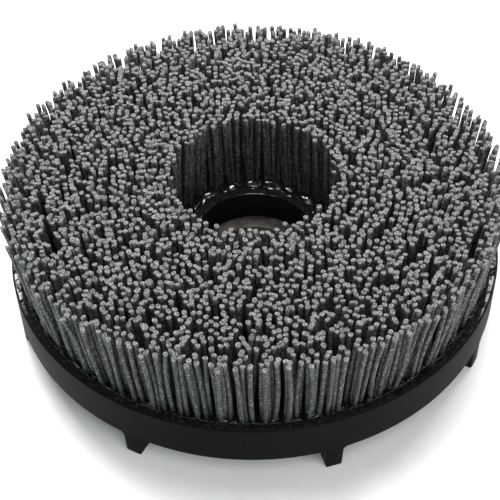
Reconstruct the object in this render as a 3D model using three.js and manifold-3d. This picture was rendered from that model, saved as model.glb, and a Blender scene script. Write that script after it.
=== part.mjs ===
// Disc brush for a rotary machine: a moulded backing disc with eight vanes on its back, a steel arbor
// bush in its hub, a bed of cast resin in its tray, and four hundred filament tufts standing in the resin.
// Millimetres, +Z along the brush's axis towards the bristle tips, origin at the centre of the back face.

import * as THREE from 'three';
import { mergeVertices } from 'three/addons/utils/BufferGeometryUtils.js';
import Module from 'manifold-3d';

const wasm = await Module();
wasm.setup();

// ---- Driving dimensions ----

const GAP = 0.3; // between pieces that touch
const ROUND_SEGMENTS = 72;
const SMALL_ROUND_SEGMENTS = 40;

const DISC_RADIUS = 75;
const VANE_DEPTH = 8.3; // how far the vanes and the hub boss stand below the disc
const RIM_HEIGHT = 13.2;
const RIM_WALL = 3;
const WEB_THICKNESS = 3;
const EDGE_CHAMFER = 0.5;

const BORE_RADIUS = 12.7;
const COUNTERBORE_RADIUS = 18.2;
const COUNTERBORE_DEPTH = 9.3;
const HUB_WALL = 3.6;
const BOSS_RADIUS = 24;
const SLEEVE_WALL = 2;
const FLANGE_THICKNESS = 2.4;

const VANE_COUNT = 8;
const FIRST_VANE_ANGLE = -73.5; // degrees, from +X
const VANE_ROOT_WIDTH = 5.8;
const VANE_FOOT_WIDTH = 4.8;
const VANE_END_CHAMFER = 0.9; // the outer end's upright corners

const RESIN_BELOW_RIM = 1.2;

const BRISTLE_HEIGHT = 26.5; // tips above the rim
const ROW_COUNT = 8;
const TUFT_PITCH = 6.05; // about, along a row
const FIRST_ROW_RADIUS = 27.7;
const LAST_ROW_RADIUS = 69;
const INNER_SPLAY = -1; // how far a row's tips lean outwards: first row, then last row
const OUTER_SPLAY = 2.2;
const TUFT_ROOT_RADIUS = 2.15;
const TUFT_TIP_RADIUS = 2.7;
const TUFT_SIDES = 6;
const ROOT_BAND_WIDTH = 5;
const ROOT_BAND_HEIGHT = 1;
const ROOT_OVERLAP = 0.5; // how deep a tuft reaches into its root band

// ---- Heights worked out from them ----

const discBottom = VANE_DEPTH;
const rimTop = discBottom + RIM_HEIGHT;
const webTop = discBottom + WEB_THICKNESS;
const resinTop = rimTop - RESIN_BELOW_RIM;
const tipTop = rimTop + BRISTLE_HEIGHT;
const seatTop = rimTop - COUNTERBORE_DEPTH; // the face that a clamping flange presses on
const hubOuterRadius = COUNTERBORE_RADIUS + HUB_WALL;
const sleeveRadius = BORE_RADIUS + SLEEVE_WALL;

// ---- Materials ----

const material = (color, roughness, metalness) =>
  new THREE.MeshStandardMaterial({ color, roughness, metalness });

const materials = {
  moulding: material(0x1d201e, 0.55, 0),
  steel: material(0x5d5955, 0.42, 0.9),
  resin: material(0x0c0e0d, 0.12, 0),
  filament: material(0x6a6c6a, 0.7, 0),
};

// ---- Solids ----

/** A closed three.js geometry as a manifold solid. */
function solidOf(geometry) {
  const bare = geometry.index ? geometry.toNonIndexed() : geometry.clone();
  bare.deleteAttribute('normal');
  bare.deleteAttribute('uv');
  const merged = mergeVertices(bare, 1e-4);
  return new wasm.Manifold(new wasm.Mesh({
    numProp: 3,
    vertProperties: new Float32Array(merged.attributes.position.array),
    triVerts: new Uint32Array(merged.index.array),
  }));
}

/** A manifold solid as a three.js geometry. */
function geometryOf(solid) {
  const mesh = solid.getMesh();
  const geometry = new THREE.BufferGeometry();
  geometry.setAttribute('position', new THREE.BufferAttribute(mesh.vertProperties, 3));
  geometry.setIndex(new THREE.BufferAttribute(mesh.triVerts, 1));
  geometry.computeVertexNormals();
  return geometry;
}

/** A ring or disc about Z, from a closed outline of [radius, height] points listed anticlockwise. */
function revolve(outline, segments) {
  const points = [...outline, outline[0]].map(([radius, height]) => new THREE.Vector2(radius, height));
  return new THREE.LatheGeometry(points, segments).rotateX(Math.PI / 2);
}

/** A plain tube about Z, between two radii and two heights. */
function tube(inner, outer, bottom, top, segments) {
  return revolve([[inner, bottom], [outer, bottom], [outer, top], [inner, top]], segments);
}

const degrees = (angle) => THREE.MathUtils.degToRad(angle);

// ---- Backing disc ----

/** The tray that holds the resin: web, rim and hub wall, with the bush's recess and the hub boss. */
function tray() {
  const rimInner = DISC_RADIUS - RIM_WALL;
  const flangePocket = seatTop - FLANGE_THICKNESS - GAP;
  const sleeveHole = sleeveRadius + GAP;
  return revolve([
    [sleeveHole, 0],
    [BOSS_RADIUS, 0],
    [BOSS_RADIUS, discBottom],
    [DISC_RADIUS, discBottom],
    [DISC_RADIUS, rimTop - EDGE_CHAMFER],
    [DISC_RADIUS - EDGE_CHAMFER, rimTop],
    [rimInner, rimTop],
    [rimInner, webTop],
    [hubOuterRadius, webTop],
    [hubOuterRadius, rimTop],
    [COUNTERBORE_RADIUS + EDGE_CHAMFER, rimTop],
    [COUNTERBORE_RADIUS, rimTop - EDGE_CHAMFER],
    [COUNTERBORE_RADIUS, flangePocket],
    [sleeveHole, flangePocket],
  ], ROUND_SEGMENTS);
}

/** One vane: a drafted radial fin on the disc's back, from the boss out past the rim. */
function vane(angle) {
  const start = BOSS_RADIUS - 1; // well inside the boss
  const reach = DISC_RADIUS + 1; // past the rim, to be trimmed flush
  const height = discBottom + 1; // into the disc
  const side = VANE_ROOT_WIDTH / 2;
  const chamferStart = DISC_RADIUS - VANE_END_CHAMFER;
  const endSide = side - (reach - chamferStart);
  const plan = new THREE.Shape([
    new THREE.Vector2(start, -side),
    new THREE.Vector2(chamferStart, -side),
    new THREE.Vector2(reach, -endSide),
    new THREE.Vector2(reach, endSide),
    new THREE.Vector2(chamferStart, side),
    new THREE.Vector2(start, side),
  ]);
  const geometry = new THREE.ExtrudeGeometry(plan, { depth: height, bevelEnabled: false });
  const points = geometry.attributes.position;
  for (let index = 0; index < points.count; index += 1) {
    const width = THREE.MathUtils.lerp(VANE_FOOT_WIDTH, VANE_ROOT_WIDTH, points.getZ(index) / height);
    points.setY(index, points.getY(index) * width / VANE_ROOT_WIDTH);
  }
  return geometry.rotateZ(degrees(angle));
}

function backingDisc() {
  const drum = new THREE.CylinderGeometry(DISC_RADIUS, DISC_RADIUS, 4 * RIM_HEIGHT, ROUND_SEGMENTS);
  const envelope = solidOf(drum.rotateX(Math.PI / 2).rotateZ(Math.PI / 2));
  let body = solidOf(tray());
  for (let index = 0; index < VANE_COUNT; index += 1) {
    const angle = FIRST_VANE_ANGLE + index * 360 / VANE_COUNT;
    body = body.add(solidOf(vane(angle)).intersect(envelope));
  }
  return geometryOf(body);
}

// ---- Arbor bush and resin ----

/** The steel bush: a sleeve down the boss and a flange that is the counterbore's floor. */
function arborBush() {
  const flangeRadius = COUNTERBORE_RADIUS - GAP;
  return revolve([
    [BORE_RADIUS, 0],
    [sleeveRadius, 0],
    [sleeveRadius, seatTop - FLANGE_THICKNESS],
    [flangeRadius, seatTop - FLANGE_THICKNESS],
    [flangeRadius, seatTop],
    [BORE_RADIUS + EDGE_CHAMFER, seatTop],
    [BORE_RADIUS, seatTop - EDGE_CHAMFER],
  ], SMALL_ROUND_SEGMENTS);
}

function resinBed() {
  return tube(hubOuterRadius + GAP, DISC_RADIUS - RIM_WALL - GAP, webTop + GAP, resinTop, ROUND_SEGMENTS);
}

// ---- Tufts ----

/** One tuft: a six-sided bundle that widens from root to tip and leans outwards by splay. */
function tuft(rowRadius, splay, angle) {
  const bottom = resinTop + GAP + ROOT_BAND_HEIGHT - ROOT_OVERLAP;
  const height = tipTop - bottom;
  const lean = new THREE.Matrix4().set(
    1, 0, splay / height, 0,
    0, 1, 0, 0,
    0, 0, 1, 0,
    0, 0, 0, 1,
  );
  return new THREE.CylinderGeometry(TUFT_TIP_RADIUS, TUFT_ROOT_RADIUS, height, TUFT_SIDES)
    .rotateX(Math.PI / 2)
    .translate(0, 0, height / 2)
    .applyMatrix4(lean)
    .translate(rowRadius, 0, bottom)
    .rotateZ(angle);
}

/** The thin arc that lies on the resin and ties one row's tufts over a quarter turn. */
function rootBand(rowRadius, tuftCount) {
  const inner = rowRadius - ROOT_BAND_WIDTH / 2;
  const outer = rowRadius + ROOT_BAND_WIDTH / 2;
  const start = GAP / inner / 2;
  const sweep = Math.PI / 2 - 2 * start;
  const steps = Math.ceil(tuftCount / 2);
  const arc = (radius) => Array.from({ length: steps + 1 }, (_, index) => {
    const angle = start + sweep * index / steps;
    return new THREE.Vector2(radius * Math.cos(angle), radius * Math.sin(angle));
  });
  const outline = new THREE.Shape([...arc(outer), ...arc(inner).reverse()]);
  return new THREE.ExtrudeGeometry(outline, { depth: ROOT_BAND_HEIGHT, bevelEnabled: false })
    .translate(0, 0, resinTop + GAP);
}

/** The tufts of one row over a quarter turn, as one body. */
function quarterRow(row) {
  const share = row / (ROW_COUNT - 1);
  const rowRadius = THREE.MathUtils.lerp(FIRST_ROW_RADIUS, LAST_ROW_RADIUS, share);
  const splay = THREE.MathUtils.lerp(INNER_SPLAY, OUTER_SPLAY, share);
  const tuftCount = Math.round(Math.PI / 2 * rowRadius / TUFT_PITCH);
  const tuftAngle = Math.PI / 2 / tuftCount;
  let body = solidOf(rootBand(rowRadius, tuftCount));
  for (let index = 0; index < tuftCount; index += 1) {
    body = body.add(solidOf(tuft(rowRadius, splay, (index + 0.5) * tuftAngle)));
  }
  return geometryOf(body);
}

// ---- Assembly ----

const brush = new THREE.Group();

function addPart(name, geometry, finish) {
  const mesh = new THREE.Mesh(geometry, finish);
  mesh.name = name;
  brush.add(mesh);
  return mesh;
}

addPart('backing_disc', backingDisc(), materials.moulding);
addPart('arbor_bush', arborBush(), materials.steel);
addPart('resin_bed', resinBed(), materials.resin);

for (let row = 0; row < ROW_COUNT; row += 1) {
  const geometry = quarterRow(row);
  for (let quarter = 0; quarter < 4; quarter += 1) {
    const part = addPart(`tuft_row_${row + 1}_quarter_${quarter + 1}`, geometry, materials.filament);
    part.rotation.z = degrees(90 * quarter - 45);
  }
}

export default brush;
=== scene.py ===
import math
import random

import bpy
import numpy as np
from mathutils import Matrix, Quaternion, Vector, noise


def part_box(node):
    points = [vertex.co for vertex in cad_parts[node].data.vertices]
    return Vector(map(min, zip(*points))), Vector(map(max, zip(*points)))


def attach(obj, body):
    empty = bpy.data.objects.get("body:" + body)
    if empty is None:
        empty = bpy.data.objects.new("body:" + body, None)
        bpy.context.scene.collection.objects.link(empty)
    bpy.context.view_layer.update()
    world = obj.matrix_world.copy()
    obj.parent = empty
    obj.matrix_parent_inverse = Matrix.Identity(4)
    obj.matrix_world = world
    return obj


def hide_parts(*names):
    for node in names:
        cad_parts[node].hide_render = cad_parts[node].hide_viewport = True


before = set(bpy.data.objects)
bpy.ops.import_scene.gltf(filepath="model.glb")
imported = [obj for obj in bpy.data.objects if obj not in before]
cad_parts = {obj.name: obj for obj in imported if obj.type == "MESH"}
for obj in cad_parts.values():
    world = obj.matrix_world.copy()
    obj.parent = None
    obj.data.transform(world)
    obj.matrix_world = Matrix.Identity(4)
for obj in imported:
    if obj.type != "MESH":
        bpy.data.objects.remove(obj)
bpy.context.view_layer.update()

bl_info = {
    "name": "Disc Brush",
    "version": (1, 0, 0),
    "blender": (4, 5, 0),
    "location": "3D View > Sidebar > Disc Brush",
    "description": "Builds a round disc brush with filament tufts set in resin",
    "category": "Add Mesh",
}

MM = 0.001
QUARTERS = 4


# ---- What the frame gives ----


def row_nodes(row):
    """The CAD nodes that hold one row's tufts, quarter by quarter."""
    return [f"tuft_row_{row + 1}_quarter_{quarter + 1}" for quarter in range(QUARTERS)]


def count_rows():
    """How many rows of tufts the frame has."""
    return sum(name.endswith("_quarter_1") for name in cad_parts)


def frame_sizes():
    """The brush's radii and heights, in metres, read from the CAD nodes' boxes."""
    disc_low, disc_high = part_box("backing_disc")
    bush_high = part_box("arbor_bush")[1]
    resin_low, resin_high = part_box("resin_bed")
    tufts_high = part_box(row_nodes(0)[0])[1]
    return {
        "disc_radius": disc_high.x,
        "foot": disc_low.z,
        "rim_top": disc_high.z,
        "seat": bush_high.z,
        "bush_radius": bush_high.x,
        "resin_bottom": resin_low.z,
        "resin_radius": resin_high.x,
        "resin_top": resin_high.z,
        "tip_top": tufts_high.z,
    }


SIZES = frame_sizes()


def row_radius(row):
    """The radius of a row at the resin, from the corner of the arc its quarter stands on."""
    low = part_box(row_nodes(row)[0])[0]
    band_half_width = 2.5 * MM
    return low.x / math.cos(math.radians(45)) + band_half_width


# ---- Sizes and colours that a user may change ----


def length(name, description, default):
    return bpy.props.FloatProperty(
        name=name,
        description=description,
        default=default,
        unit="LENGTH",
        precision=5,
    )


def colour(name, description, default):
    return bpy.props.FloatVectorProperty(
        name=name,
        description=description,
        default=default,
        subtype="COLOR",
        size=3,
        min=0.0,
        max=1.0,
    )


class DiscSettings(bpy.types.PropertyGroup):
    disc_bottom: length("Disc underside", "Height of the disc's back above the vanes' feet", 8.3 * MM)
    rim_wall: length("Rim wall", "Width of the flat ledge outside the resin", 3.0 * MM)
    web: length("Web", "Thickness of the tray's floor", 3.0 * MM)
    counterbore: length("Counterbore radius", "Radius of the recess round the arbor hole", 18.2 * MM)
    hub_wall: length("Hub wall", "Width of the ring between the recess and the resin", 3.6 * MM)
    boss: length("Boss radius", "Radius of the boss on the back", 24.0 * MM)
    edge: length("Edge radius", "Rounding of the moulding's edges", 0.35 * MM)
    vane_root: length("Vane root", "Vane width where it meets the disc", 5.8 * MM)
    vane_foot: length("Vane foot", "Vane width at its free end", 4.8 * MM)
    vane_flare: length("Vane flare", "Width added each side by the fillet at the root", 1.1 * MM)
    vane_corner: length("Vane corner", "Chamfer of the upright corners at a vane's outer end", 0.9 * MM)
    vane_count: bpy.props.IntProperty(name="Vanes", description="Vanes on the back", default=8, min=1)
    first_vane: bpy.props.FloatProperty(
        name="First vane",
        description="Direction of the first vane, from +X",
        default=math.radians(-73.5),
        subtype="ANGLE",
    )
    colour: colour("Moulding", "Colour of the moulded plastic", (0.0038, 0.0040, 0.0036))
    # The dust colour, doubled, is also the colour of the painted highlight along the ledge's inner edge.
    dust_and_highlight_colour: colour("Dust", "Colour of the dust and smears near the resin", (0.085, 0.080, 0.072))


class BushSettings(bpy.types.PropertyGroup):
    bore: length("Bore radius", "Radius of the arbor hole", 12.7 * MM)
    sleeve_wall: length("Sleeve wall", "Wall of the sleeve in the boss", 2.0 * MM)
    flange: length("Flange", "Thickness of the flange", 2.4 * MM)
    edge: length("Edge radius", "Rounding of the bush's edges", 0.3 * MM)
    colour: colour("Steel", "Colour of the worn steel", (0.021, 0.0175, 0.0155))


class ResinSettings(bpy.types.PropertyGroup):
    ripple: length("Ripple", "Height of the resin's waves", 0.22 * MM)
    climb: length("Climb", "How far the resin creeps up the walls round it", 0.7 * MM)
    collar: length("Collar", "Height of the resin heaped up round the hub", 1.9 * MM)
    hub_drops: bpy.props.IntProperty(
        name="Hub drops", description="Large drops of resin round the hub", default=34, min=0
    )
    hub_beads: bpy.props.IntProperty(
        name="Hub beads", description="Small beads of resin round the hub", default=110, min=0
    )
    rim_drops: bpy.props.IntProperty(
        name="Rim drops", description="Long drops of resin along the rim", default=130, min=0
    )
    rim_beads: bpy.props.IntProperty(
        name="Rim beads", description="Small beads of resin along the rim", default=260, min=0
    )
    lean: bpy.props.FloatProperty(
        name="Lean",
        description="How far the drops lean, from the disc's lean as the resin set",
        default=math.radians(22),
        subtype="ANGLE",
    )
    colour: colour("Resin", "Colour of the cast resin", (0.006, 0.0068, 0.0062))


class TuftSettings(bpy.types.PropertyGroup):
    pitch: length("Pitch", "Spacing of the tufts along a row", 6.05 * MM)
    filaments: bpy.props.IntProperty(
        name="Filaments", description="Filaments in one tuft", default=9, min=1
    )
    edge_filaments: bpy.props.IntProperty(
        name="Edge filaments", description="Filaments in a tuft of the last row", default=7, min=1
    )
    thickness: length("Thickness", "Diameter of one filament", 1.4 * MM)
    root_spread: length("Root spread", "Spacing of a tuft's filaments in the resin", 1.42 * MM)
    tip_spread: length("Tip spread", "Spacing of a tuft's filaments at the tips", 2.1 * MM)
    inner_splay: length("Inner splay", "Outward lean of the first row's tips", -0.7 * MM)
    outer_splay: length("Outer splay", "Outward lean of the last row's tips", 3.0 * MM)
    wander: length("Wander", "How far a tuft's tip strays from its place", 0.55 * MM)
    stray: length("Stray", "How far a filament's tip strays within its tuft", 0.42 * MM)
    bow: length("Bow", "How far a filament bends between root and tip", 0.35 * MM)
    uneven: length("Unevenness", "How much shorter the shortest tips are", 1.0 * MM)
    rooted: length("Rooted", "How deep the filaments reach into the resin", 1.5 * MM)
    cut_tilt: bpy.props.FloatProperty(
        name="Cut tilt", description="How steeply a filament's end is cut, as a slope", default=0.22
    )
    edge_spread: bpy.props.FloatProperty(
        name="Edge spread", description="How much wider the last row's tufts stand at the root", default=1.3
    )
    colour: colour("Filament", "Colour of a filament's side", (0.030, 0.0315, 0.0315))
    tip_colour: colour("Tip", "Colour of a filament's cut end", (0.155, 0.157, 0.155))


class StageSettings(bpy.types.PropertyGroup):
    distance: length("Distance", "Camera distance from the middle of the rim", 375 * MM)
    focal_share: bpy.props.FloatProperty(
        name="Focal length", description="Focal length as a share of the frame's width", default=2.41
    )
    elevation: bpy.props.FloatProperty(
        name="Elevation", description="Camera height", default=math.radians(45.0), subtype="ANGLE"
    )
    roll: bpy.props.FloatProperty(
        name="Roll", description="Camera roll", default=math.radians(1.4), subtype="ANGLE"
    )
    aim_right: length("Aim right", "How far right of the rim's centre the camera aims", -1.4 * MM)
    aim_up: length("Aim up", "How far above the rim's centre the camera aims", -4.9 * MM)


# ---- Shader nodes as expressions ----


class Value:
    """A shader socket that takes part in Python arithmetic by adding Math nodes."""

    def __init__(self, finish, socket):
        self.finish = finish
        self.socket = socket

    def maths(self, operation, *values):
        return self.finish.add("ShaderNodeMath", {"operation": operation}, *values)

    def __add__(self, other):
        return self.maths("ADD", self, other)

    def __rsub__(self, other):
        return self.maths("SUBTRACT", other, self)

    def __mul__(self, other):
        return self.maths("MULTIPLY", self, other)

    def __pow__(self, other):
        return self.maths("POWER", self, other)

    __radd__ = __add__

    def clip(self):
        return self.finish.add("ShaderNodeClamp", {}, self)

    def above(self, start, end):
        """0 below start, 1 past end, and smooth between."""
        settings = {"interpolation_type": "SMOOTHSTEP"}
        return self.finish.add("ShaderNodeMapRange", settings, self, start, end)


class Finish:
    """A material and the nodes that make it."""

    def __init__(self, name):
        self.material = bpy.data.materials.new(name)
        self.material.use_nodes = True
        self.tree = self.material.node_tree
        self.shader = self.tree.nodes["Principled BSDF"]

    def add(self, kind, settings, *values, output=0, **named):
        """A node of that kind: its settings, then the values or links of its sockets."""
        node = self.tree.nodes.new(kind)
        for name, value in settings.items():
            setattr(node, name, value)
        for key, value in [*enumerate(values), *named.items()]:
            self.feed(node.inputs[key], value)
        return Value(self, node.outputs[output])

    def feed(self, socket, value):
        if isinstance(value, Value):
            self.tree.links.new(value.socket, socket)
        elif value is not None:
            socket.default_value = value

    def set(self, **sockets):
        """Feeds the shader's sockets, named with underscores for spaces."""
        for name, value in sockets.items():
            self.feed(self.shader.inputs[name.replace("_", " ")], value)

    def place(self):
        return self.add("ShaderNodeTexCoord", {}, output="Object")

    def radius(self):
        """How far a point of the object is from its axis, in metres."""
        split = self.tree.nodes.new("ShaderNodeSeparateXYZ")
        self.feed(split.inputs[0], self.place())
        x, y = (Value(self, split.outputs[axis]) for axis in "XY")
        return (x * x + y * y) ** 0.5

    def noise(self, size, detail=2.0, rough=0.5):
        """Noise from 0 to 1 whose blotches are about that many metres across."""
        named = {"Vector": self.place(), "Scale": 1 / size, "Detail": detail, "Roughness": rough}
        return self.add("ShaderNodeTexNoise", {}, **named)

    def rings(self, radius, size):
        """Noise from 0 to 1 that changes only with the radius, in rings about that far apart."""
        named = {"W": radius * (1 / size), "Scale": 1.0, "Detail": 3.0, "Roughness": 0.7}
        return self.add("ShaderNodeTexNoise", {"noise_dimensions": "1D"}, **named)

    def grains(self, size):
        """Distance to the nearest of scattered points about that far apart."""
        return self.add("ShaderNodeTexVoronoi", {}, Vector=self.place(), Scale=1 / size)

    def attribute(self, name):
        return self.add("ShaderNodeAttribute", {"attribute_name": name}, output="Fac")

    def mix(self, share, first, second):
        """A colour between two colours."""
        node = self.tree.nodes.new("ShaderNodeMix")
        node.data_type = "RGBA"
        self.feed(node.inputs["Factor"], share)
        for socket, value in ((node.inputs[6], first), (node.inputs[7], second)):
            self.feed(socket, value if isinstance(value, Value) else (*value, 1.0))
        return Value(self, node.outputs[2])

    def bump(self, height, distance, strength=1.0, under=None):
        """A normal roughened by a height from 0 to 1, that stands for that many metres."""
        named = {"Height": height, "Distance": distance, "Strength": strength, "Normal": under}
        return self.add("ShaderNodeBump", {}, **named)


def shade(colour, factor):
    """A colour made darker or lighter by a factor."""
    return tuple(min(1.0, part * factor) for part in colour)


# ---- Finishes ----


def moulding_finish(settings):
    """Satin black plastic: fine spark texture, scuffs, dust and resin smears on upward faces, and a painted
    highlight along the inner edge of the rim's ledge.
    """
    finish = Finish("moulded plastic")
    radius = finish.radius()
    normal = finish.add("ShaderNodeNewGeometry", {}, output="Normal")
    up = finish.add("ShaderNodeSeparateXYZ", {}, normal, output="Z")
    flat_top = up.above(0.5, 0.9)
    mottle = finish.noise(1.7 * MM, 5.0, 0.7)
    crumbs = finish.noise(0.8 * MM, 4.0, 0.75).above(0.51, 0.60)
    specks = 1 - finish.grains(0.9 * MM).above(0.12, 0.34)
    by_hub = radius.above(18.2 * MM, 18.7 * MM) * (1 - radius.above(22.3 * MM, 23.0 * MM))
    by_rim = radius.above(71.0 * MM, 71.6 * MM) * (1 - radius.above(74.0 * MM, 74.6 * MM))
    splashed = (by_hub + by_rim) * flat_top
    patches = mottle.above(0.44, 0.56)
    wet = (splashed * patches).clip() * 0.8
    dust = (splashed * (patches * crumbs * 0.6 + specks * crumbs * 0.6) + specks * crumbs * 0.25).clip()
    # Painted highlight: a thin lighter line painted on the top along the ledge's inner edge, broken by
    # noise, where the rounded edge would catch the light.
    painted_highlight_band = radius.above(71.85 * MM, 72.05 * MM) * (1 - radius.above(72.25 * MM, 72.45 * MM))
    line = painted_highlight_band * flat_top * finish.noise(1.6 * MM, 3.0, 0.6).above(0.44, 0.54)
    broad = finish.noise(30.0 * MM, 3.0)
    base = finish.mix(broad.above(0.3, 0.7), shade(settings.colour, 0.8), shade(settings.colour, 1.25))
    base = finish.mix(splashed * 0.6, base, shade(settings.colour, 1.8))
    base = finish.mix(dust * 0.9, base, settings.dust_and_highlight_colour)
    # Paints that highlight line in twice the dust colour.
    base = finish.mix(line * 0.9, base, shade(settings.dust_and_highlight_colour, 2.0))
    scratches = finish.noise(0.9 * MM, 4.0, 0.7).above(0.62, 0.75)
    roughness = 0.47 + broad * 0.10 + scratches * 0.12
    fine = finish.noise(0.35 * MM, 3.0, 0.6)
    texture = finish.bump(fine, 0.03 * MM, 0.6)
    ridges = finish.bump((mottle + crumbs * 0.4) * splashed, 0.7 * MM, 0.9, texture)
    finish.set(Base_Color=base, Roughness=roughness.clip(), Normal=ridges)
    finish.set(Specular_IOR_Level=0.045, Coat_Weight=wet, Coat_Roughness=0.08)
    return finish.material


def steel_finish(settings):
    """Dull brownish steel with turning marks, stains and pits."""
    finish = Finish("worn steel")
    marks = finish.rings(finish.radius(), 0.35 * MM)
    stain = finish.noise(6.0 * MM, 4.0, 0.6)
    fine = finish.noise(0.6 * MM, 4.0, 0.7)
    base = finish.mix(stain.above(0.40, 0.60), shade(settings.colour, 0.4), shade(settings.colour, 2.2))
    base = finish.mix(fine.above(0.52, 0.68) * 0.5, base, shade(settings.colour, 0.3))
    roughness = 0.36 + stain * 0.22 + fine * 0.12
    turning = finish.bump(marks, 0.02 * MM, 0.5)
    pits = finish.bump(fine, 0.03 * MM, 0.5, turning)
    finish.set(Base_Color=base, Roughness=roughness.clip(), Normal=pits, Metallic=0.2)
    return finish.material


def resin_finish(settings):
    """Glossy black cast resin, a little dusty."""
    finish = Finish("cast resin")
    dust = finish.noise(1.6 * MM, 4.0, 0.65)
    base = finish.mix(dust.above(0.55, 0.8) * 0.35, settings.colour, (0.05, 0.05, 0.048))
    roughness = 0.07 + dust.above(0.45, 0.75) * 0.22
    waves = finish.bump(finish.noise(1.3 * MM, 2.0), 0.12 * MM, 0.6)
    finish.set(Base_Color=base, Roughness=roughness, Normal=waves)
    finish.set(Specular_IOR_Level=0.55)
    return finish.material


def filament_finish(settings):
    """Grey nylon filled with grit: sparkling sides darkened low down by painted shade, and paler worn ends
    with a darker core.
    """
    finish = Finish("abrasive nylon")
    reach = finish.attribute("reach")
    tone = finish.attribute("tone")
    core = finish.attribute("core")
    grit = finish.grains(0.75 * MM)
    fleck = 1 - grit.above(0.10, 0.42)
    cloud = finish.noise(0.8 * MM, 3.0, 0.8)
    speckle = cloud.above(0.47, 0.58)
    side = finish.mix(tone, shade(settings.colour, 0.35), shade(settings.colour, 0.75))
    side = finish.mix(speckle * 0.8, side, shade(settings.colour, 3.6))
    side = finish.mix((fleck * (speckle * 0.7 + 0.3)).clip(), side, shade(settings.colour, 13.0))
    # Painted shade: the lower part of each filament's side is darkened, standing in for the shade deep
    # among the tufts.
    side = finish.mix((1 - reach.above(0.0, 0.45)) * 0.35, side, shade(settings.colour, 0.5))
    worn = (reach.above(0.955, 0.996) * (0.65 + tone * 0.35)).clip()
    tip = finish.mix(speckle, shade(settings.tip_colour, 0.55), shade(settings.tip_colour, 1.6))
    tip = finish.mix(core * 0.7, tip, shade(settings.tip_colour, 0.3))
    base = finish.mix(worn, side, tip)
    roughness = 0.62 - fleck * 0.25
    gravel = finish.bump(fleck * 0.6 + cloud, 0.14 * MM, 1.0)
    finish.set(Base_Color=base, Roughness=roughness.clip(), Normal=gravel)
    finish.set(Specular_IOR_Level=0.4)
    return finish.material


def floor_finish():
    """Plain pale studio floor."""
    finish = Finish("studio floor")
    faint = finish.noise(0.4, 2.0)
    finish.set(Base_Color=finish.mix(faint, (0.86, 0.86, 0.86), (0.88, 0.88, 0.88)))
    finish.set(Roughness=0.9, Specular_IOR_Level=0.2)
    return finish.material


# ---- Modelling by hand ----


def clear_selection():
    if bpy.context.object and bpy.context.object.mode != "OBJECT":
        bpy.ops.object.mode_set(mode="OBJECT")
    bpy.ops.object.select_all(action="DESELECT")


def edit_all():
    bpy.ops.object.mode_set(mode="EDIT")
    bpy.ops.mesh.select_mode(type="VERT")
    bpy.ops.mesh.select_all(action="SELECT")


def select_faces(piece, wanted):
    """Leaves just the faces selected whose centre and normal the test accepts."""
    bpy.ops.object.mode_set(mode="OBJECT")
    for item in (*piece.data.vertices, *piece.data.edges, *piece.data.polygons):
        item.select = False
    for face in piece.data.polygons:
        face.select = wanted(face.center, face.normal)
    bpy.ops.object.mode_set(mode="EDIT")
    bpy.ops.mesh.select_mode(type="FACE")


def select_edges(piece, wanted):
    """Leaves just the edges selected whose middle and direction the test accepts."""
    bpy.ops.object.mode_set(mode="OBJECT")
    for item in (*piece.data.vertices, *piece.data.edges, *piece.data.polygons):
        item.select = False
    for edge in piece.data.edges:
        first, second = (piece.data.vertices[corner].co for corner in edge.vertices)
        edge.select = wanted((first + second) / 2, (second - first).normalized())
    bpy.ops.object.mode_set(mode="EDIT")
    bpy.ops.mesh.select_mode(type="EDGE")


def finish_piece(piece, name, material, slot, *nodes, sharp=32):
    """Names a piece, gives it its finish, and hides the CAD nodes that it stands for."""
    if not piece.data.polygons:
        raise RuntimeError(f"{name} has no faces")
    clear_selection()
    piece.select_set(True)
    bpy.context.view_layer.objects.active = piece
    bpy.ops.object.transform_apply(location=True, rotation=True, scale=True)
    bpy.ops.object.shade_smooth_by_angle(angle=math.radians(sharp))
    piece.name = name
    piece.data.name = name
    piece.data.materials.clear()
    piece.data.materials.append(material)
    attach(piece, "root")
    if nodes:
        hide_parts(*nodes)
    return piece


def rounded(corners, steps=4):
    """An outline's points, from corners given as (radius, height, rounding)."""
    points = []
    count = len(corners)
    for index, (across, up, rounding) in enumerate(corners):
        here = Vector((across, up))
        before = Vector(corners[index - 1][:2]) - here
        after = Vector(corners[(index + 1) % count][:2]) - here
        if rounding <= 0:
            points.append(here)
            continue
        start = here + before.normalized() * rounding
        end = here + after.normalized() * rounding
        for step in range(steps + 1):
            share = step / steps
            first = start.lerp(here, share)
            second = here.lerp(end, share)
            points.append(first.lerp(second, share))
    return points


def turned(outline, steps):
    """A piece turned about Z: one point extruded round its outline, then spun."""
    clear_selection()
    start = outline[0]
    bpy.ops.mesh.primitive_plane_add(size=MM, location=(start.x, 0, start.y))
    piece = bpy.context.object
    edit_all()
    bpy.ops.mesh.merge(type="CENTER")
    for here, following in zip(outline, [*outline[1:], outline[0]]):
        move = following - here
        bpy.ops.mesh.extrude_vertices_move(TRANSFORM_OT_translate={"value": (move.x, 0, move.y)})
    edit_all()
    bpy.ops.mesh.remove_doubles(threshold=0.001 * MM)
    bpy.ops.mesh.spin(steps=steps, angle=math.tau, center=(0, 0, 0), axis=(0, 0, 1))
    bpy.ops.mesh.select_all(action="SELECT")
    bpy.ops.mesh.remove_doubles(threshold=0.002 * MM)
    bpy.ops.mesh.normals_make_consistent(inside=False)
    bpy.ops.object.mode_set(mode="OBJECT")
    return piece


def copy_of(piece, angle):
    """Another of the same piece, with its own mesh, turned about Z."""
    twin = piece.copy()
    twin.data = piece.data.copy()
    bpy.context.scene.collection.objects.link(twin)
    clear_selection()
    twin.select_set(True)
    bpy.context.view_layer.objects.active = twin
    edit_all()
    bpy.ops.transform.rotate(value=-angle, orient_axis="Z", center_override=(0, 0, 0))
    bpy.ops.object.mode_set(mode="OBJECT")
    return twin


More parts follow.
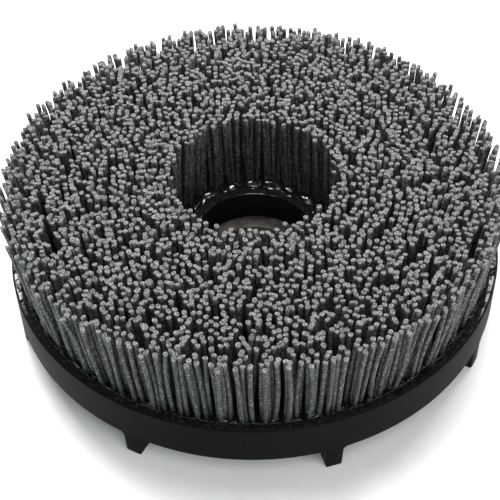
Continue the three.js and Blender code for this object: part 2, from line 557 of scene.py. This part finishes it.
def joined(pieces):
    """Several pieces as one object."""
    clear_selection()
    for piece in pieces:
        piece.select_set(True)
    bpy.context.view_layer.objects.active = pieces[0]
    bpy.ops.object.join()
    return pieces[0]


def mesh_piece(name, points, faces):
    """A new object with that mesh, at the origin."""
    mesh = bpy.data.meshes.new(name)
    mesh.from_pydata(points, [], faces)
    mesh.validate()
    piece = bpy.data.objects.new(name, mesh)
    bpy.context.scene.collection.objects.link(piece)
    return piece


# ---- Backing disc ----


def tray_outline(disc):
    """The tray's section: boss, back, rim, trough, hub ring and the recess for the bush."""
    bush = bpy.context.scene.bush_settings
    sleeve_hole = bush.bore + bush.sleeve_wall + 0.1 * MM
    pocket = SIZES["seat"] - bush.flange - 0.1 * MM
    top = SIZES["rim_top"]
    floor = disc.disc_bottom + disc.web
    rim_inner = SIZES["disc_radius"] - disc.rim_wall
    hub_outer = disc.counterbore + disc.hub_wall
    edge = disc.edge
    return rounded([
        (sleeve_hole, SIZES["foot"], edge),
        (disc.boss, SIZES["foot"], edge * 2),
        (disc.boss, disc.disc_bottom, edge * 3),
        (SIZES["disc_radius"], disc.disc_bottom, edge),
        (SIZES["disc_radius"], top, edge * 1.3),
        (rim_inner, top, edge),
        (rim_inner, floor, edge * 2),
        (hub_outer, floor, edge * 2),
        (hub_outer, top, edge),
        (disc.counterbore, top, edge * 1.5),
        (disc.counterbore, pocket, 0),
        (sleeve_hole, pocket, 0),
    ])


def one_vane(disc):
    """A drafted fin along +X with a chamfered outer end, and a fillet where it meets the disc."""
    reach = SIZES["disc_radius"] - 0.03 * MM
    start = disc.boss - 2 * MM
    height = disc.disc_bottom + 0.8 * MM
    clear_selection()
    bpy.ops.mesh.primitive_cube_add(size=1, location=((start + reach) / 2, 0, height / 2))
    vane = bpy.context.object
    edit_all()
    bpy.ops.transform.resize(value=(reach - start, disc.vane_root, height))
    bpy.ops.object.mode_set(mode="OBJECT")
    bpy.ops.object.transform_apply(location=True, rotation=True, scale=True)
    select_edges(vane, lambda middle, along: middle.x > reach - 0.1 * MM and abs(along.z) > 0.9)
    bpy.ops.mesh.bevel(offset=disc.vane_corner, segments=2, affect="EDGES")
    select_edges(vane, lambda middle, along: middle.z < 0.01 * MM)
    bpy.ops.mesh.bevel(offset=0.3 * MM, segments=2, affect="EDGES")
    for level in (0.80, 0.88, 0.95, 1.0):
        bpy.ops.mesh.select_all(action="SELECT")
        bpy.ops.mesh.bisect(plane_co=(0, 0, disc.disc_bottom * level), plane_no=(0, 0, 1))
    bpy.ops.object.mode_set(mode="OBJECT")
    for vertex in vane.data.vertices:
        share = min(1.0, vertex.co.z / disc.disc_bottom)
        width = disc.vane_foot + (disc.vane_root - disc.vane_foot) * share
        flare = max(0.0, (share - 0.80) / 0.20)
        width += 2 * disc.vane_flare * flare ** 2.2
        vertex.co.y *= width / disc.vane_root
    return vane


def united(piece, other):
    """Joins another closed piece into this one."""
    clear_selection()
    piece.select_set(True)
    bpy.context.view_layer.objects.active = piece
    union = piece.modifiers.new("union", "BOOLEAN")
    union.operation = "UNION"
    union.solver = "EXACT"
    union.object = other
    bpy.ops.object.modifier_apply(modifier=union.name)
    bpy.data.objects.remove(other)


class DISC_BRUSH_OT_backing_disc(bpy.types.Operator):
    """Model the moulded disc with its rim, hub ring, boss and radial vanes"""

    bl_idname = "disc_brush.backing_disc"
    bl_label = "Backing disc"

    def execute(self, context):
        disc = context.scene.disc_settings
        body = turned(tray_outline(disc), 144)
        pattern = one_vane(disc)
        turn = math.tau / disc.vane_count
        vanes = [copy_of(pattern, disc.first_vane + index * turn) for index in range(disc.vane_count)]
        bpy.data.objects.remove(pattern)
        for vane in vanes:
            united(body, vane)
        finish_piece(body, "moulded_disc", moulding_finish(disc), "moulding", "backing_disc")
        return {"FINISHED"}


# ---- Arbor bush ----


class DISC_BRUSH_OT_arbor_bush(bpy.types.Operator):
    """Model the steel bush whose flange is the floor of the counterbore"""

    bl_idname = "disc_brush.arbor_bush"
    bl_label = "Arbor bush"

    def execute(self, context):
        bush = context.scene.bush_settings
        sleeve = bush.bore + bush.sleeve_wall
        underside = SIZES["seat"] - bush.flange
        outline = rounded([
            (bush.bore, SIZES["foot"], bush.edge),
            (sleeve, SIZES["foot"], bush.edge),
            (sleeve, underside, 0),
            (SIZES["bush_radius"], underside, 0),
            (SIZES["bush_radius"], SIZES["seat"], bush.edge),
            (bush.bore, SIZES["seat"], bush.edge * 2),
        ])
        piece = turned(outline, 128)
        finish_piece(piece, "steel_bush", steel_finish(bush), "steel", "arbor_bush")
        return {"FINISHED"}


# ---- Resin ----


def resin_outline(disc):
    """The resin's section, with a close row of points along its top for the waves."""
    inner = disc.counterbore + disc.hub_wall + 0.05 * MM
    outer = SIZES["disc_radius"] - disc.rim_wall - 0.05 * MM
    top = SIZES["resin_top"]
    bottom = SIZES["resin_bottom"]
    strips = 110
    surface = [Vector((outer + (inner - outer) * step / strips, top)) for step in range(strips + 1)]
    return [Vector((inner, bottom)), Vector((outer, bottom)), *surface]


def resin_height(place, resin, inner, outer):
    """How far the resin stands above its level at a place, in metres."""
    radius = math.hypot(place.x, place.y)
    wave = noise.noise(place / (3.1 * MM)) + 0.5 * noise.noise(place / (1.2 * MM))
    wall = min(radius - inner, outer - radius)
    creep = math.exp(-max(0.0, wall) / (0.55 * MM))
    lumps = 0.6 + 0.8 * (0.5 + 0.5 * noise.noise(place / (2.0 * MM)))
    across = (radius - inner - 2.1 * MM) / (1.1 * MM)
    heap = max(0.0, 0.55 + 0.9 * noise.noise(place / (3.6 * MM)))
    collar = resin.collar * heap * math.exp(-across * across)
    return resin.ripple * wave + resin.climb * creep * lumps + collar


def bead_pattern():
    """One rounded bead a unit across, flat underneath."""
    clear_selection()
    bpy.ops.mesh.primitive_ico_sphere_add(subdivisions=2, radius=0.5)
    bead = bpy.context.object
    edit_all()
    bpy.ops.transform.resize(value=(1, 1, 0.8))
    bpy.ops.mesh.bisect(plane_co=(0, 0, -0.2), plane_no=(0, 0, 1), clear_inner=True, use_fill=True)
    bpy.ops.object.mode_set(mode="OBJECT")
    points = np.array([vertex.co for vertex in bead.data.vertices])
    faces = [tuple(face.vertices) for face in bead.data.polygons]
    bpy.data.objects.remove(bead)
    return points, faces


def scattered_drops(lean, count, seed, radii, height, sizes, stretch, flatness):
    """Drops strewn round a ring, mostly lying along it; each pair is a lowest and a highest value."""
    draw = random.Random(seed)
    pattern, pattern_faces = bead_pattern()
    points = []
    faces = []
    for _ in range(count):
        angle = draw.uniform(0, math.tau)
        place = Vector((math.cos(angle), math.sin(angle), 0)) * draw.uniform(*radii)
        place.z = height + draw.uniform(-0.25, 0.05) * MM
        size = sizes[0] + (sizes[1] - sizes[0]) * draw.random() ** 1.5
        scale = Matrix.Diagonal((size * draw.uniform(*stretch), size, size * draw.uniform(*flatness)))
        along = Matrix.Rotation(angle + math.pi / 2 + draw.gauss(0, 0.25), 3, "Z")
        tip = Matrix.Rotation(lean + draw.gauss(0, 0.12), 3, "X")
        sway = Matrix.Rotation(draw.gauss(0.05, 0.12), 3, "Y")
        placed = pattern @ np.array(sway @ tip @ along @ scale).T + np.array(place)
        offset = len(points)
        points.extend(placed.tolist())
        faces.extend(tuple(offset + corner for corner in face) for face in pattern_faces)
    return mesh_piece("drops", points, faces)


class DISC_BRUSH_OT_resin(bpy.types.Operator):
    """Model the cast resin with its waves, the creep up the walls, and the beads it left"""

    bl_idname = "disc_brush.resin"
    bl_label = "Cast resin"

    def execute(self, context):
        disc = context.scene.disc_settings
        resin = context.scene.resin_settings
        inner = disc.counterbore + disc.hub_wall
        outer = SIZES["disc_radius"] - disc.rim_wall
        top = SIZES["resin_top"]
        bed = turned(resin_outline(disc), 360)
        for vertex in bed.data.vertices:
            if vertex.co.z > top - 0.01 * MM:
                vertex.co.z += resin_height(vertex.co, resin, inner, outer)
        finish = resin_finish(resin)
        finish_piece(bed, "cast_resin", finish, "resin", "resin_bed", sharp=60)
        level = SIZES["rim_top"]
        hub = joined([
            scattered_drops(
                resin.lean,
                resin.hub_drops,
                seed=5,
                radii=(inner - 0.1 * MM, inner + 1.7 * MM),
                height=level + 0.2 * MM,
                sizes=(1.2 * MM, 3.4 * MM),
                stretch=(1.0, 2.0),
                flatness=(0.12, 0.2),
            ),
            scattered_drops(
                resin.lean,
                resin.hub_beads,
                seed=6,
                radii=(inner - 1.5 * MM, inner + 2.6 * MM),
                height=level,
                sizes=(0.4 * MM, 1.2 * MM),
                stretch=(1.0, 1.8),
                flatness=(0.3, 0.6),
            ),
        ])
        finish_piece(hub, "hub_resin_drops", finish, "resin", sharp=80)
        rim = joined([
            scattered_drops(
                resin.lean,
                resin.rim_drops,
                seed=7,
                radii=(outer - 1.1 * MM, outer + 0.1 * MM),
                height=level - 0.1 * MM,
                sizes=(0.5 * MM, 1.0 * MM),
                stretch=(1.5, 4.5),
                flatness=(0.2, 0.35),
            ),
            scattered_drops(
                resin.lean,
                resin.rim_beads,
                seed=8,
                radii=(outer - 1.2 * MM, outer + 0.5 * MM),
                height=level - 0.1 * MM,
                sizes=(0.25 * MM, 0.7 * MM),
                stretch=(1.0, 1.8),
                flatness=(0.3, 0.6),
            ),
        ])
        finish_piece(rim, "rim_resin_drops", finish, "resin", sharp=80)
        return {"FINISHED"}


# ---- Tufts ----


def filament_pattern(tufts):
    """One filament, a unit long and standing on the origin, as points and faces."""
    radius = tufts.thickness / 2
    clear_selection()
    bpy.ops.mesh.primitive_cylinder_add(vertices=8, radius=radius, depth=1, location=(0, 0, 0.5))
    piece = bpy.context.object
    for level in (0.25, 0.5, 0.75):
        edit_all()
        bpy.ops.mesh.bisect(plane_co=(0, 0, level), plane_no=(0, 0, 1))
    select_faces(piece, lambda centre, normal: normal.z > 0.9)
    bpy.ops.mesh.inset(thickness=radius * 0.22)
    bpy.ops.mesh.inset(thickness=radius * 0.34)
    bpy.ops.object.mode_set(mode="OBJECT")
    bpy.ops.object.transform_apply(location=True, rotation=True, scale=True)
    points = np.array([vertex.co for vertex in piece.data.vertices])
    faces = [tuple(face.vertices) for face in piece.data.polygons]
    bpy.data.objects.remove(piece)
    return points, faces


def tuft_count(radius, pitch):
    """Tufts on a row: as many in each quarter turn as the pitch allows."""
    return QUARTERS * round(radius * math.tau / QUARTERS / pitch)


def tuft_places(count, spread):
    """Where a tuft's filaments stand: on a sunflower spiral, about that far apart."""
    golden = math.pi * (3 - math.sqrt(5))
    growth = 0.525 * spread
    centre_gap = 0.35
    places = []
    for index in range(count):
        radius = growth * math.sqrt(index + centre_gap)
        turn = golden * index
        places.append(Vector((radius * math.cos(turn), radius * math.sin(turn), 0)))
    return places


def filament_points(pattern, radius, root, tip, bow, turn, tilt):
    """The pattern's points moved so that it runs from root to tip with a slight bow and a ragged cut."""
    burr, worn_edge, worn_core = 1.07, 0.13 * MM, 0.10 * MM
    up = np.clip(pattern[:, 2], 0, 1)[:, None]
    rooted, ended = np.array(root), np.array(tip)
    line = rooted + (ended - rooted) * up
    line[:, :2] += np.array(bow) * np.sin(up * math.pi)
    cosine, sine = math.cos(turn), math.sin(turn)
    distance = np.hypot(pattern[:, 0], pattern[:, 1]) / radius
    on_top = pattern[:, 2] > 0.999
    widen = np.where(on_top & (distance > 0.9), burr, 1.0)
    across = (pattern[:, 0] * cosine - pattern[:, 1] * sine) * widen
    along = (pattern[:, 0] * sine + pattern[:, 1] * cosine) * widen
    dish = np.select([distance > 0.9, distance > 0.6], [-worn_edge, 0.0], -worn_core)
    cut = dish + across * tilt[0] + along * tilt[1]
    line[:, 0] += across
    line[:, 1] += along
    line[:, 2] += np.where(on_top, cut, 0.0)
    return line


def row_mesh(row, rows, tufts, pattern, pattern_faces, draw):
    """One row's filaments as points, faces and the numbers its finish reads."""
    share = row / (rows - 1)
    last = row == rows - 1
    radius = tufts.thickness / 2
    root_radius = row_radius(row)
    splay = tufts.inner_splay + (tufts.outer_splay - tufts.inner_splay) * share
    count = tuft_count(root_radius, tufts.pitch)
    filaments = tufts.edge_filaments if last else tufts.filaments
    root_spread = tufts.root_spread * (tufts.edge_spread if last else 1.0)
    bottom = SIZES["resin_top"] - tufts.rooted
    root_limit = SIZES["resin_radius"] - radius
    wander_limit = 0.5 * MM if last or row == 0 else 1.2 * MM
    across = np.hypot(pattern[:, 0], pattern[:, 1])
    on_top = pattern[:, 2] > 0.999
    core = (on_top & (across < radius * 0.5)).astype(float)
    root_places = tuft_places(filaments, root_spread)
    tip_places = tuft_places(filaments, tufts.tip_spread)
    points, faces, tones, reaches, cores = [], [], [], [], []
    offset = 0
    for index in range(count):
        angle = (index + 0.5) * math.tau / count - math.radians(45)
        out = Vector((math.cos(angle), math.sin(angle), 0))
        side = Vector((-out.y, out.x, 0))
        root_middle = out * root_radius + side * draw.gauss(0, 0.12 * MM)
        wander = (draw.gauss(0, tufts.wander), draw.gauss(0, tufts.wander))
        wander = [max(-wander_limit, min(wander_limit, step)) for step in wander]
        tip_middle = out * (root_radius + splay + wander[0]) + side * wander[1]
        twist = Matrix.Rotation(draw.uniform(0, math.tau), 3, "Z")
        tuft_tone = draw.uniform(-0.2, 0.2)
        trim = draw.uniform(0, tufts.uneven * 0.4)
        for root_place, tip_place in zip(root_places, tip_places):
            root = root_middle + twist @ root_place
            tip = tip_middle + twist @ tip_place
            tip += Vector((draw.gauss(0, tufts.stray), draw.gauss(0, tufts.stray), 0))
            if root.length > root_limit:
                root *= root_limit / root.length
            root.z = bottom
            tip.z = SIZES["tip_top"] - trim - draw.uniform(0, tufts.uneven * 0.6)
            bow = (draw.gauss(0, tufts.bow), draw.gauss(0, tufts.bow))
            tilt = (draw.gauss(0, tufts.cut_tilt), draw.gauss(0, tufts.cut_tilt))
            line = filament_points(pattern, radius, root, tip, bow, draw.uniform(0, math.tau), tilt)
            points.append(line)
            faces.extend(tuple(offset + corner for corner in face) for face in pattern_faces)
            tone = min(1.0, max(0.0, 0.5 + tuft_tone + draw.uniform(-0.4, 0.4)))
            tones.extend([tone] * len(line))
            reaches.extend(np.clip(pattern[:, 2], 0, 1).tolist())
            cores.extend(core.tolist())
            offset += len(line)
    return np.concatenate(points), faces, {"tone": tones, "reach": reaches, "core": cores}


FIRST_ROW_SEED = 200


class DISC_BRUSH_OT_tufts(bpy.types.Operator):
    """Model every row of tufts, filament by filament"""

    bl_idname = "disc_brush.tufts"
    bl_label = "Filament tufts"

    def execute(self, context):
        tufts = context.scene.tuft_settings
        pattern, pattern_faces = filament_pattern(tufts)
        finish = filament_finish(tufts)
        rows = count_rows()
        for row in range(rows):
            draw = random.Random(FIRST_ROW_SEED + row)
            points, faces, numbers = row_mesh(row, rows, tufts, pattern, pattern_faces, draw)
            piece = mesh_piece(f"filaments_row_{row + 1}", points.tolist(), faces)
            for name, values in numbers.items():
                layer = piece.data.attributes.new(name, "FLOAT", "POINT")
                layer.data.foreach_set("value", values)
            finish_piece(piece, f"filaments_row_{row + 1}", finish, "filament", *row_nodes(row), sharp=50)
        return {"FINISHED"}


# ---- Stage ----


def aim_at(thing, target, roll=0.0):
    """Turns a camera or a light to face a point."""
    facing = (target - thing.location).to_track_quat("-Z", "Y")
    thing.rotation_mode = "QUATERNION"
    thing.rotation_quaternion = facing @ Quaternion((0, 0, 1), -roll)


def soft_light(name, place, target, size, power, colour):
    """A rectangular light at a place, facing the target."""
    data = bpy.data.lights.new(name, "AREA")
    data.shape = "RECTANGLE"
    data.size, data.size_y = size
    data.energy = power
    data.color = colour
    light = bpy.data.objects.new(name, data)
    light.location = place
    bpy.context.scene.collection.objects.link(light)
    aim_at(light, target)


# Each light's name, place, width and height in metres, power in watts, and colour.
LIGHTS = (
    ("key_light", (0.22, 0.30, 0.42), (0.25, 0.25), 2.6, (1, 1, 1)),
    ("top_light", (-0.03, 0.07, 0.54), (0.15, 0.15), 2.2, (1, 1, 1)),
    ("back_light", (-0.3, 0.45, 0.45), (0.3, 0.2), 5.4, (1, 1, 1)),
    ("front_light", (0.1, -0.50, 0.70), (0.5, 0.5), 2.6, (1, 1, 1)),
    ("front_right_light", (0.7, -0.5, 0.22), (0.4, 0.3), 3.4, (1, 1, 1)),
    ("green_bounce", (-0.5, -0.5, 0.08), (0.3, 0.2), 0.7, (0.15, 1.0, 0.4)),
)
WORLD_STRENGTH = 0.3


class DISC_BRUSH_OT_stage(bpy.types.Operator):
    """Set the floor, the soft lights and the camera"""

    bl_idname = "disc_brush.stage"
    bl_label = "Stage"

    def execute(self, context):
        stage = context.scene.stage_settings
        clear_selection()
        bpy.ops.mesh.primitive_plane_add(size=6, location=(0, 0, SIZES["foot"]))
        floor = context.object
        floor.name = "studio_floor"
        floor.data.materials.append(floor_finish())
        centre = Vector((0, 0, SIZES["rim_top"]))
        for name, place, size, power, colour in LIGHTS:
            soft_light(name, place, centre, size, power, colour)
        world = bpy.data.worlds.new("studio")
        context.scene.world = world
        world.use_nodes = True
        background = world.node_tree.nodes["Background"]
        background.inputs["Color"].default_value = (1, 1, 1, 1)
        background.inputs["Strength"].default_value = WORLD_STRENGTH
        data = bpy.data.cameras.new("camera")
        camera = bpy.data.objects.new("camera", data)
        context.scene.collection.objects.link(camera)
        data.sensor_width = 36
        data.lens = stage.focal_share * data.sensor_width
        right = Vector((1, 0, 0))
        up = Vector((0, math.sin(stage.elevation), math.cos(stage.elevation)))
        back = Vector((0, -math.cos(stage.elevation), math.sin(stage.elevation)))
        camera.location = centre + back * stage.distance
        aim_at(camera, centre + right * stage.aim_right + up * stage.aim_up, stage.roll)
        data.clip_start = 0.01
        context.scene.camera = camera
        context.scene.view_settings.view_transform = "Standard"
        return {"FINISHED"}


class DISC_BRUSH_PT_panel(bpy.types.Panel):
    """Lists the brush's pieces"""

    bl_idname = "DISC_BRUSH_PT_panel"
    bl_label = "Disc Brush"
    bl_space_type = "VIEW_3D"
    bl_region_type = "UI"
    bl_category = "Disc Brush"

    def draw(self, context):
        for operator in OPERATORS:
            self.layout.operator(operator.bl_idname)


SETTINGS = {
    "disc_settings": DiscSettings,
    "bush_settings": BushSettings,
    "resin_settings": ResinSettings,
    "tuft_settings": TuftSettings,
    "stage_settings": StageSettings,
}
OPERATORS = (
    DISC_BRUSH_OT_backing_disc,
    DISC_BRUSH_OT_arbor_bush,
    DISC_BRUSH_OT_resin,
    DISC_BRUSH_OT_tufts,
    DISC_BRUSH_OT_stage,
)


def register():
    for item in (*SETTINGS.values(), *OPERATORS, DISC_BRUSH_PT_panel):
        bpy.utils.register_class(item)
    for name, item in SETTINGS.items():
        setattr(bpy.types.Scene, name, bpy.props.PointerProperty(type=item))


def unregister():
    for name in SETTINGS:
        delattr(bpy.types.Scene, name)
    for item in reversed((*SETTINGS.values(), *OPERATORS, DISC_BRUSH_PT_panel)):
        bpy.utils.unregister_class(item)


def main():
    register()
    bpy.ops.disc_brush.backing_disc()
    bpy.ops.disc_brush.arbor_bush()
    bpy.ops.disc_brush.resin()
    bpy.ops.disc_brush.tufts()
    bpy.ops.disc_brush.stage()


if __name__ == "__main__":
    main()
